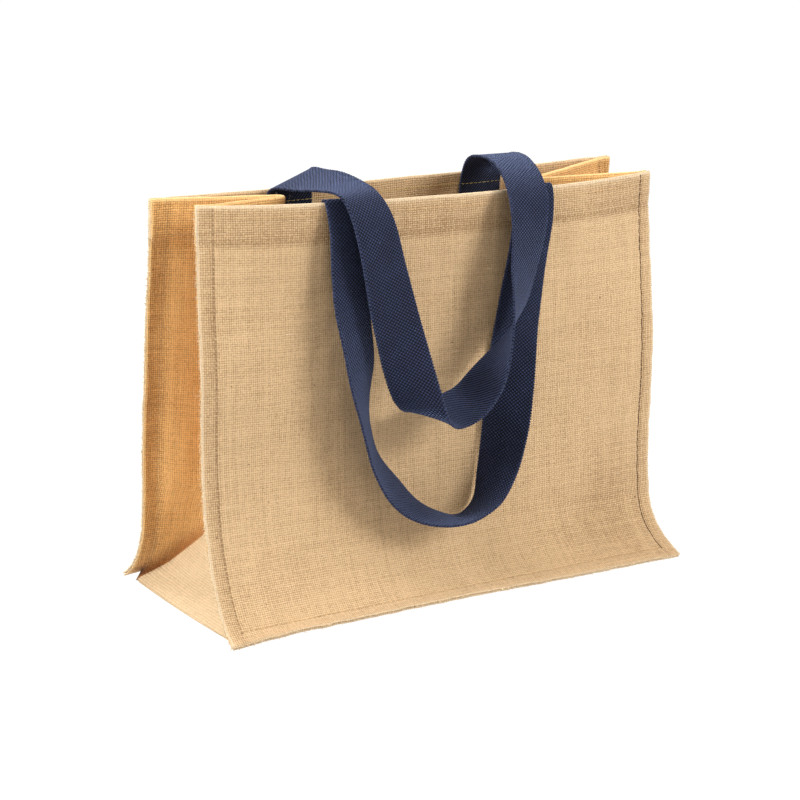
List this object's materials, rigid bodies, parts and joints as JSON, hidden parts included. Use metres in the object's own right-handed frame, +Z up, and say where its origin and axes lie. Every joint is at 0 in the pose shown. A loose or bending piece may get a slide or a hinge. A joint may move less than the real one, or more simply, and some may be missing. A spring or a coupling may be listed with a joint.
{
  "type": "burlap shopping bag",
  "caption": "Open-topped burlap shopping bag with outward seams, gussets folded in at both sides, and webbing handles hanging forward over the front rim.",
  "frame": {"origin": "middle of the flat underside, on the surface the bag stands on", "axes": "+X to the bag's right seen from the front, +Y from the front panel to the back panel, +Z up"},
  "size_m": [0.4314, 0.201, 0.3418],
  "materials": {
    "front_panel": "natural burlap, plain weave, matte",
    "back_panel": "natural burlap, plain weave, matte",
    "side_and_base_strip": "natural burlap, plain weave, matte",
    "front_handle": "navy cotton webbing, twill weave",
    "back_handle": "navy cotton webbing, twill weave"
  },
  "bodies": {
    "root": {"front_panel": "front_panel", "back_panel": "back_panel", "side_and_base_strip": "side_and_base_strip", "front_handle": "front_handle", "back_handle": "back_handle"}
  },
  "joints": []
}
